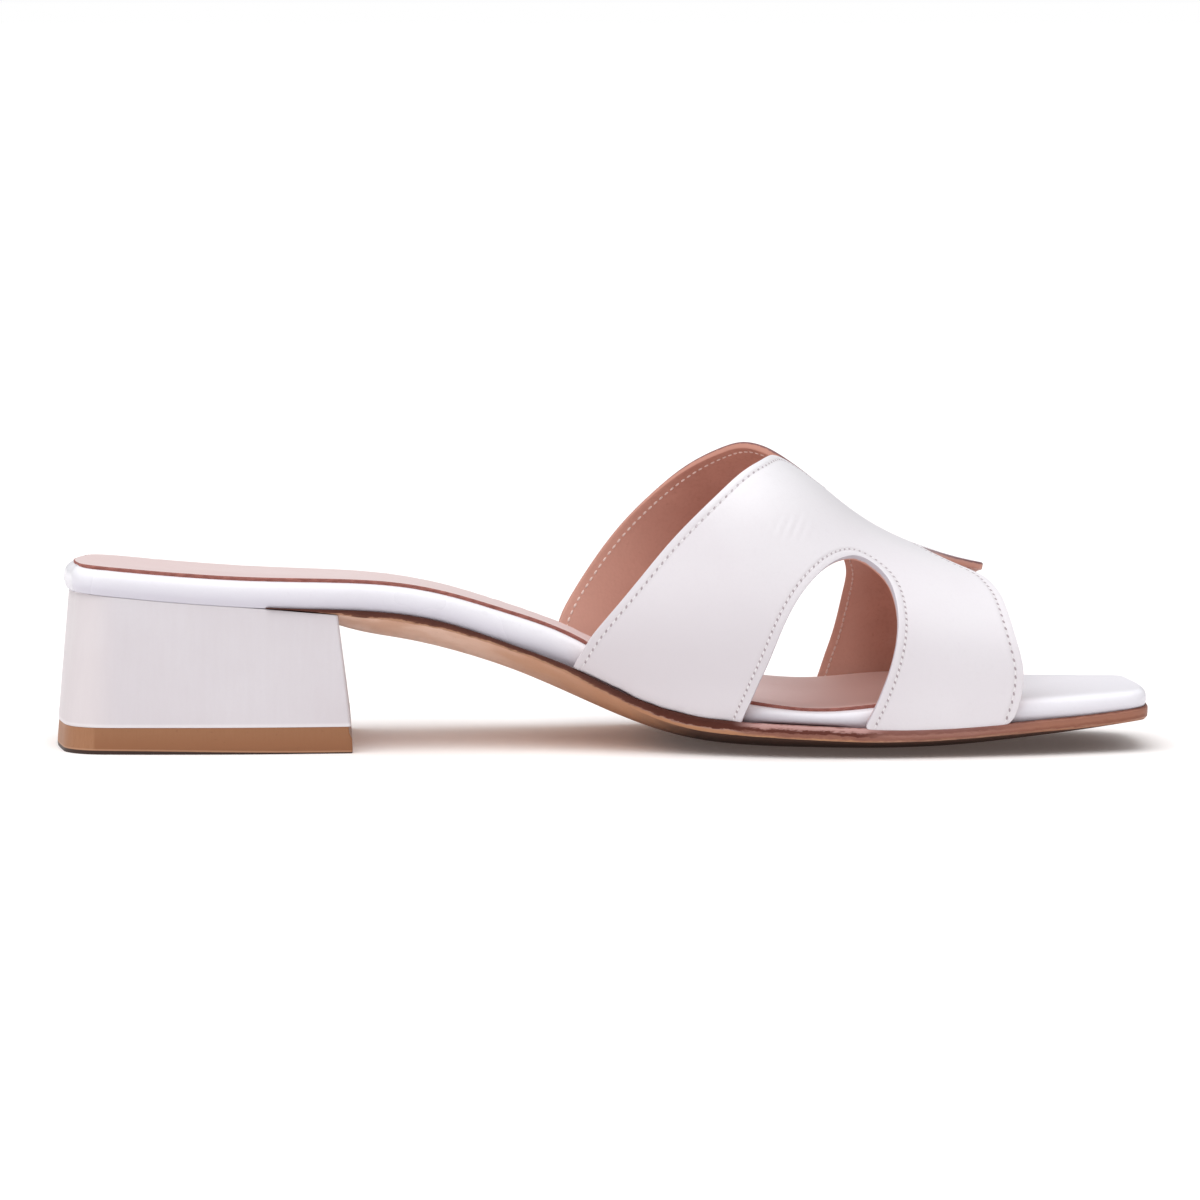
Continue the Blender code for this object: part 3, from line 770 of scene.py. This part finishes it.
def makeSock():
    look = sockLook
    piece = mergedCopy("sock", "sockLining")
    material, tree, shader, colour, normal = leatherMaterial("sockLeather", look)
    # painted shade towards the front
    worn = remap(tree, objectPlace(tree)["X"], *look["wornFades"], 0.0, look["wornShare"])
    tree.links.new(blendColours(tree, worn, colour, look["worn"]), shader.inputs["Base Color"])
    piece.data.materials.append(material)
    piece.data.materials.append(sockEdgeMaterial())
    for face in piece.data.polygons:
        face.material_index = 1 if abs(face.normal.z) < sockEdgeLook["slope"] else 0
    slide(piece, lambda vertex: True, (0, 0, -look["settle"]))
    creaseBorders(piece)
    subdivideSmooth(piece, 2)
    roughen(piece, lambda vertex: abs(vertex.normal.z) < sockEdgeLook["fraySlope"],
            sockEdgeLook["fraySize"], sockEdgeLook["fray"])
    finishPiece(piece, "sock")


makeSock()
print("sock done")


# upper

upperLook = {
    "colour": (241, 239, 243), "drift": (237, 233, 238), "driftScale": 26.0,
    "speckColour": (214, 206, 210), "specks": 0.1, "poreShade": 0.05,
    "roughness": 0.43, "specular": 0.4,
    "pebbles": 1500.0, "wrinkles": 360.0, "grainDepth": 0.03 * mm,
    # painted shade on the skin, as changes between two heights in millimetres, deepest low on the side and
    # easing off at the very bottom, and less of it at the front
    "dull": (215, 209, 214), "dulling": [(68, 52, 0.42), (44, 23, 0.58), (20, 10, -0.25)],
    "dullFront": 0.55, "frontFades": (50 * mm, 80 * mm),
    # folds pressed by the foot, from and to (x, z), with their width and height, in millimetres
    "folds": [
        {"from": (49, 51), "to": (33, 28), "width": 4.2, "height": -0.22},
        {"from": (45, 46), "to": (38, 34), "width": 2.6, "height": 0.16},
        {"from": (26, 58), "to": (44, 47), "width": 3.4, "height": -0.14},
        {"from": (40, 66), "to": (55, 50), "width": 4.5, "height": 0.14},
        {"from": (62, 44), "to": (78, 34), "width": 3.6, "height": -0.14},
    ],
    "foldEnds": 0.15,            # how soon a fold rises from its ends, from 0 to 0.5
    "puckerAt": (43 * mm, 53 * mm), "puckerReach": (4.4 * mm, 2.6 * mm), "puckerPitch": 2.1 * mm,
    "puckerLean": math.radians(26), "puckerHeight": 0.05 * mm,
    "edgeRound": 0.35 * mm, "edgeSampled": 0.3 * mm,
    "grooveDepth": 0.14 * mm, "grooveWidth": 0.5 * mm, "grooveShade": 0.35,
    "smoothing": 0.5, "smoothings": 6,
    "settle": 0.75 * mm, "settleReach": 9 * mm,      # closes the gap to the sole
    "soleTouch": 1.5 * mm, "soleFacing": 0.5,      # a cut edge this close that looks down stands on it
    "rimReach": 4 * mm,          # the cut edge this close to an opening's outer border belongs to it
    # a skin ends where faces bend more than this, and it is known by how far it looks away from the
    # middle of the foot (the outer one) or towards it (the lining)
    "skinBend": math.radians(50), "skinMiddle": (45 * mm, 0, 20 * mm), "skinLooks": 0.5,
}
liningLook = {
    "colour": (193, 136, 118), "drift": (181, 124, 107), "driftScale": 60.0,
    "speckColour": (148, 88, 72), "specks": 0.3, "poreShade": 0.12,
    "roughness": 0.5, "specular": 0.35,
    "pebbles": 1400.0, "wrinkles": 330.0, "grainDepth": 0.045 * mm,
    # paler with painted light, towards the rear edge and behind the front strap
    "rubbed": (222, 172, 156), "rubbedFades": (-10 * mm, 32 * mm), "rubbedShare": 0.75,
    "rubbedFore": [(46, 56, 0.5), (59, 70, -0.5)],
}
cutEdgeLook = {
    "roughness": 0.55, "specular": 0.3,
    "fibreStretch": (700.0, 700.0, 700.0), "fibreDepth": 0.04 * mm, "wobble": 0.12,
    # colours from the outer leather (0) to the lining (1): on the rims; in the openings, where the rim is
    # greyer with painted shade; and on the outer side of the foot, where painted shade darkens the outer
    # corner
    "rim": [(0.0, (228, 220, 224)), (0.5, (228, 220, 224)), (0.62, (206, 150, 134))],
    "opening": [(0.0, (196, 190, 198)), (0.6, (196, 190, 198)), (0.75, (206, 150, 134))],
    "far": [(0.0, (128, 88, 88)), (0.22, (128, 88, 88)), (0.36, (198, 142, 126))],
    "farFades": (-4 * mm, 10 * mm),
}
stitching = {
    "inset": 1.95 * mm, "pitch": 1.95 * mm,
    "openingPitch": 1.5 * mm, "openingSpan": 45 * mm,      # where a run's ends are closer than the span
    "shortest": 12,              # an edge with this many points or fewer isn't sewn
    # a run is drawn from points at this spacing, so many each way give its direction, no point comes
    # nearer to an edge than this share of the inset, and it is evened out so many times
    "sampled": 0.5 * mm, "reach": 3, "clear": 0.9, "evenings": 4,
    # it then goes on at the pace of its last few steps, at most so often, and stops this far off the skin
    "lastSteps": 4, "stepsOn": 16, "skinEnd": 0.2 * mm,
    "segments": 8, "rings": 5,
    "roughness": 0.6, "specular": 0.3,
    "streakStretch": (2500.0, 2500.0, 2500.0), "streakDepth": 0.03 * mm, "streakShade": 0.8,
}
threadOuter = {
    "name": "threadOuter", "size": (1.25 * mm, 0.42 * mm, 0.24 * mm), "lift": -0.02 * mm, "turn": 0.0,
    "colour": (240, 236, 239),
}
# flat grey marks that paint the shade in the needle holes, darker low on the side and lighter higher up
needleHole = {
    "name": "needleHoles", "size": (0.95 * mm, 0.54 * mm, 0.12 * mm), "lift": -0.01 * mm,
    "turn": math.radians(20),
    "colour": (178, 165, 170), "second": (206, 198, 204), "axis": "Z", "fades": (30 * mm, 58 * mm),
}
# the lining thread, with painted shade from 44 to 60 mm along, towards the front
threadLining = {
    "name": "threadLining", "size": (1.25 * mm, 0.52 * mm, 0.3 * mm), "lift": 0.02 * mm, "turn": 0.0,
    "colour": (248, 224, 214), "second": (206, 158, 143), "axis": "X", "fades": (44 * mm, 60 * mm),
}


def colourSkins(piece):
    # material 0 on the outer skin, 1 on the lining and 2 on the cut edge between them
    look = upperLook
    mesh = piece.data
    owners = facesByEdge(mesh)
    smooth = {key: first.normal.angle(second.normal) < look["skinBend"]
              for key, (first, second) in owners.items()}
    island = {}
    for face in mesh.polygons:
        if face.index in island:
            continue
        island[face.index] = face.index
        waiting = [face]
        while waiting:
            for key in waiting.pop().edge_keys:
                for other in owners[key]:
                    if smooth[key] and other.index not in island:
                        island[other.index] = face.index
                        waiting.append(other)
    outward = {}
    area = {}
    for face in mesh.polygons:
        name = island[face.index]
        away = face.center - Vector(look["skinMiddle"])
        away.x = 0
        outward[name] = outward.get(name, 0) + face.area * face.normal.dot(away.normalized())
        area[name] = area.get(name, 0) + face.area
    for face in mesh.polygons:
        name = island[face.index]
        looks = outward[name] / area[name]
        outer = looks > look["skinLooks"]
        inner = looks < -look["skinLooks"]
        face.material_index = 0 if outer else 1 if inner else 2
    print("skins:", sorted((round(area[n] * 1e6), round(outward[n] / area[n], 2)) for n in area))


def seamEdges(piece):
    # edges where two of the skins meet
    owners = facesByEdge(piece.data)
    return {edge.index for edge in piece.data.edges
            if len({face.material_index for face in owners[edge.key]}) > 1}


def skinVertices(piece, materialIndex):
    chosen = set()
    for face in piece.data.polygons:
        if face.material_index == materialIndex:
            chosen.update(face.vertices)
    return chosen


def outerChains(piece, sole):
    # the open runs of the outer skin's cut edge, without the part that stands on the sole
    mesh = piece.data
    owners = facesByEdge(mesh)
    steps = {}
    for face in mesh.polygons:
        if face.material_index != 0:
            continue
        corners = list(face.vertices)
        for a, b in zip(corners, corners[1:] + corners[:1]):
            other = [f for f in owners[(min(a, b), max(a, b))] if f.index != face.index][0]
            if other.material_index != 2:
                continue
            onSole = sole.find_nearest(other.center)[3] < upperLook["soleTouch"]
            if not (onSole and other.normal.z < -upperLook["soleFacing"]):
                steps[a] = b
    chains = []
    for start in set(steps) - set(steps.values()):
        chain = [start]
        while chain[-1] in steps:
            chain.append(steps[chain[-1]])
        chains.append([mesh.vertices[index].co.copy() for index in chain])
    print("open edges:", sorted(len(chain) for chain in chains))
    return [chain for chain in chains if len(chain) > stitching["shortest"]]


def skinTree(piece, materialIndex):
    mesh = piece.data
    corners = [vertex.co.copy() for vertex in mesh.vertices]
    faces = [list(face.vertices) for face in mesh.polygons if face.material_index == materialIndex]
    return BVHTree.FromPolygons(corners, faces)


def evenlySpaced(points, pitch):
    # points at equal distances along a run
    placed = [points[0]]
    left = pitch
    for a, b in zip(points, points[1:]):
        length = (b - a).length
        done = 0.0
        while length - done >= left:
            done += left
            placed.append(a.lerp(b, done / length))
            left = pitch
        left -= length - done
    return placed


def isOpening(chain):
    return (chain[0] - chain[-1]).length < stitching["openingSpan"]


def stitchRun(chain, allEdges, outer):
    # a run drawn in from the edge by the inset, on the outer skin, with an even pitch
    inset = stitching["inset"]
    reach = stitching["reach"]
    points = evenlySpaced(chain, stitching["sampled"])
    run = []
    for index in range(reach, len(points) - reach):
        along = (points[index + reach] - points[index - reach]).normalized()
        normal = outer.find_nearest(points[index])[1]
        place = outer.find_nearest(points[index] + normal.cross(along) * inset)[0]
        if allEdges.find(place)[2] > stitching["clear"] * inset:
            run.append(place)
    for _ in range(stitching["evenings"]):
        middle = [(a + b * 2 + c) / 4 for a, b, c in zip(run, run[1:], run[2:])]
        run = [run[0], *middle, run[-1]]
    for _ in range(2):
        # on towards the sole at one end and then at the other
        run.reverse()
        step = (run[-1] - run[-1 - stitching["lastSteps"]]) / stitching["lastSteps"]
        for _ in range(stitching["stepsOn"]):
            place = outer.find_nearest(run[-1] + step)[0]
            if (place - run[-1] - step).length > stitching["skinEnd"]:
                break
            run.append(place)
    return evenlySpaced(run, stitching["openingPitch" if isOpening(chain) else "pitch"])


def stitchShape(size):
    bpy.ops.object.select_all(action="DESELECT")
    bpy.ops.mesh.primitive_uv_sphere_add(segments=stitching["segments"], ring_count=stitching["rings"],
                                         radius=0.5, location=(0, 0, 0), rotation=(0, math.radians(90), 0))
    shape = bpy.context.object
    bpy.ops.object.transform_apply(rotation=True)
    bpy.ops.object.mode_set(mode="EDIT")
    bpy.ops.mesh.select_all(action="SELECT")
    bpy.ops.transform.resize(value=size)
    bpy.ops.object.mode_set(mode="OBJECT")
    return shape


def stitchMaterial(kind):
    # one colour, or a change from one to another along an axis, with fine streaks over it
    material, tree, shader = newMaterial(kind["name"] + "Finish", stitching)
    streaks = placeGroup(tree, streakGroup, {"Stretch": stitching["streakStretch"]})
    colour = tint(*kind["colour"])
    darker = tuple(stitching["streakShade"] * value for value in colour[:3]) + (1,)
    # the change along an axis is painted shade
    if "second" in kind:
        share = remap(tree, objectPlace(tree)[kind["axis"]], *kind["fades"])
        colour = blendColours(tree, share, colour, kind["second"])
    colour = blendColours(tree, streaks.outputs["Streaks"], colour, darker)
    tree.links.new(colour, shader.inputs["Base Color"])
    addBump(tree, shader, streaks.outputs["Height"], stitching["streakDepth"])
    return material


def sewRow(kind, places):
    # one copy of the stitch's shape at each place, joined into one piece
    shape = stitchShape(kind["size"])
    copies = []
    for matrix in places:
        copied = shape.copy()
        copied.data = shape.data.copy()
        copied.data.transform(matrix)
        bpy.context.scene.collection.objects.link(copied)
        copies.append(copied)
    bpy.data.objects.remove(shape)
    bpy.ops.object.select_all(action="DESELECT")
    for copied in copies:
        copied.select_set(True)
    bpy.context.view_layer.objects.active = copies[0]
    bpy.ops.object.join()
    row = bpy.context.object
    row.name = kind["name"]
    row.data.name = kind["name"]
    row.data.materials.clear()
    row.data.materials.append(stitchMaterial(kind))
    finishPiece(row)


def placeOn(skin, spot, along, kind):
    # the matrix that lays a stitch of this kind on a skin, lengthwise along the run
    point, normal, _, _ = skin.find_nearest(spot)
    side = normal.cross(along).normalized()
    forward = side.cross(normal).normalized()
    basis = Matrix((forward, side, normal)).transposed().to_4x4()
    spin = Matrix.Rotation(kind["turn"], 4, "Z")
    return Matrix.Translation(point + normal * kind["lift"]) @ basis @ spin


def makeStitches(runs, outer, lining):
    threads = []
    holes = []
    insides = []
    for run in runs:
        for a, b in zip(run, run[1:]):
            middle = (a + b) / 2
            along = (b - a).normalized()
            threads.append(placeOn(outer, middle, along, threadOuter))
            insides.append(placeOn(lining, middle, along, threadLining))
        for before, here, after in zip(run, run[1:], run[2:]):
            holes.append(placeOn(outer, here, (after - before).normalized(), needleHole))
    sewRow(threadOuter, threads)
    sewRow(needleHole, holes)
    sewRow(threadLining, insides)
    print("stitches:", len(threads))


def cutEdgeMaterial():
    # the two leathers, one over the other, seen on the cut edge
    look = cutEdgeLook
    material, tree, shader = newMaterial("cutEdge", look)
    streaks = placeGroup(tree, streakGroup, {"Stretch": look["fibreStretch"]})
    wobble = combine(tree, "SUBTRACT", streaks.outputs["Streaks"], 0.5)
    wobble = combine(tree, "MULTIPLY", wobble, look["wobble"])
    share = combine(tree, "ADD", readAttribute(tree, "liningShare"), wobble)
    rim = rampColours(tree, share, look["rim"])
    # in the openings and on the outer side of the foot the rim's colours hold painted shade
    opening = rampColours(tree, share, look["opening"])
    near = blendColours(tree, readAttribute(tree, "openingRim"), rim, opening)
    far = rampColours(tree, share, look["far"])
    outside = remap(tree, objectPlace(tree)["Y"], *look["farFades"])
    tree.links.new(blendColours(tree, outside, near, far), shader.inputs["Base Color"])
    addBump(tree, shader, streaks.outputs["Height"], look["fibreDepth"])
    return material


def liningMaterial():
    look = liningLook
    material, tree, shader, colour, normal = leatherMaterial("liningLeather", look)
    place = objectPlace(tree)
    # painted light towards the rear edge and behind the front strap
    rubbed = remap(tree, place["X"], *look["rubbedFades"], look["rubbedShare"], 0.0)
    for start, full, change in look["rubbedFore"]:
        rubbed = combine(tree, "ADD", rubbed, remap(tree, place["X"], start * mm, full * mm, 0.0, change))
    tree.links.new(blendColours(tree, rubbed, colour, look["rubbed"]), shader.inputs["Base Color"])
    return material


def puckers(tree, place):
    # a small patch of short parallel wrinkles on the inner side of the instep
    look = upperLook
    away = [combine(tree, "DIVIDE", combine(tree, "SUBTRACT", place[axis], centre), reach)
            for axis, centre, reach in zip("XZ", look["puckerAt"], look["puckerReach"])]
    squares = combine(tree, "ADD", combine(tree, "MULTIPLY", away[0], away[0]),
                      combine(tree, "MULTIPLY", away[1], away[1]))
    inPatch = combine(tree, "POWER", math.e, combine(tree, "MULTIPLY", squares, -1.0))
    turns = 2 * math.pi / look["puckerPitch"]
    forward = combine(tree, "MULTIPLY", place["X"], turns * math.cos(look["puckerLean"]))
    upward = combine(tree, "MULTIPLY", place["Z"], -turns * math.sin(look["puckerLean"]))
    across = combine(tree, "ADD", forward, upward)
    waves = combine(tree, "MULTIPLY", combine(tree, "SINE", across, 0.0), inPatch)
    return combine(tree, "MULTIPLY", waves, combine(tree, "LESS_THAN", place["Y"], 0.0))


def pressFolds(piece):
    # soft troughs and ridges on the side towards the other foot, in both leathers at once
    ends = upperLook["foldEnds"]
    moves = []
    for vertex in piece.data.vertices:
        height = 0.0
        spot = Vector((vertex.co.x, vertex.co.z)) / mm
        for fold in upperLook["folds"]:
            start = Vector(fold["from"])
            line = Vector(fold["to"]) - start
            along = clamped((spot - start).dot(line) / line.length_squared)
            away = (spot - start - line * along).length / fold["width"]
            rise = math.sin(math.pi * (ends + (1 - 2 * ends) * along))
            height += fold["height"] * rise * math.exp(-away * away)
        moves.append(height * mm if vertex.co.y < 0 else 0.0)
    for vertex, height in zip(piece.data.vertices, moves):
        vertex.co.y -= height
    piece.data.update()


def upperMaterial():
    # the outer leather, with a groove along the stitches that holds painted shade, puckers, and painted
    # shade that deepens towards the sole
    look = upperLook
    material, tree, shader, colour, normal = leatherMaterial("upperLeather", look)
    place = objectPlace(tree)
    offCentre = combine(tree, "SUBTRACT", readAttribute(tree, "edgeDistance"), stitching["inset"])
    offCentre = combine(tree, "DIVIDE", offCentre, look["grooveWidth"])
    squared = combine(tree, "MULTIPLY", offCentre, offCentre)
    groove = combine(tree, "POWER", math.e, combine(tree, "MULTIPLY", -1.0, squared))
    depth = combine(tree, "MULTIPLY", groove, -1.0)
    pressed = addBump(tree, shader, depth, look["grooveDepth"], normal)
    addBump(tree, shader, puckers(tree, place), look["puckerHeight"], pressed)
    # painted shade by height, less of it at the front
    dulled = 0.0
    for start, full, change in look["dulling"]:
        dulled = combine(tree, "ADD", dulled, remap(tree, place["Z"], start * mm, full * mm, 0.0, change))
    front = remap(tree, place["X"], *look["frontFades"], 1.0, look["dullFront"])
    colour = blendColours(tree, combine(tree, "MULTIPLY", dulled, front), colour, look["dull"])
    shade = combine(tree, "MULTIPLY", groove, look["grooveShade"])
    tree.links.new(blendColours(tree, shade, colour, look["speckColour"]), shader.inputs["Base Color"])
    return material


def makeUpper():
    look = upperLook
    piece = mergedCopy("upper", "upperBand")
    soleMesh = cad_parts["outsole"].data
    sole = BVHTree.FromPolygons([vertex.co.copy() for vertex in soleMesh.vertices],
                                [list(face.vertices) for face in soleMesh.polygons])
    for material in (upperMaterial(), liningMaterial(), cutEdgeMaterial()):
        piece.data.materials.append(material)
    colourSkins(piece)
    inner = skinVertices(piece, 1)
    writeAttribute(piece, "liningShare", lambda vertex: 1.0 if vertex.index in inner else 0.0)

    creaseEdges(piece, seamEdges(piece))
    subdivideSmooth(piece, 1)
    reach = look["settleReach"]
    letDown(piece, lambda vertex: max(0.0, 1 - sole.find_nearest(vertex.co)[3] / reach), look["settle"])
    pressFolds(piece)
    selectInEdit(piece, "VERT", {vertex.index for vertex in piece.data.vertices} - skinVertices(piece, 2))
    bpy.ops.mesh.vertices_smooth(factor=look["smoothing"], repeat=look["smoothings"])
    bpy.ops.object.mode_set(mode="OBJECT")
    subdivideSmooth(piece, 1)

    chains = outerChains(piece, sole)
    outer = skinTree(piece, 0)
    lining = skinTree(piece, 1)
    edges = pointTree([point for chain in chains for point in evenlySpaced(chain, look["edgeSampled"])])
    openings = pointTree([point for chain in chains if isOpening(chain) for point in chain])
    runs = [stitchRun(chain, edges, outer) for chain in chains]

    selectInEdit(piece, "EDGE", seamEdges(piece))
    bpy.ops.mesh.bevel(offset=look["edgeRound"], segments=2, affect="EDGES")
    bpy.ops.object.mode_set(mode="OBJECT")
    writeAttribute(piece, "edgeDistance", lambda vertex: edges.find(vertex.co)[2])
    writeAttribute(piece, "openingRim",
                   lambda vertex: 1.0 if openings.find(vertex.co)[2] < look["rimReach"] else 0.0)
    finishPiece(piece, "upper")
    makeStitches(runs, outer, lining)


makeUpper()
print("upper done")
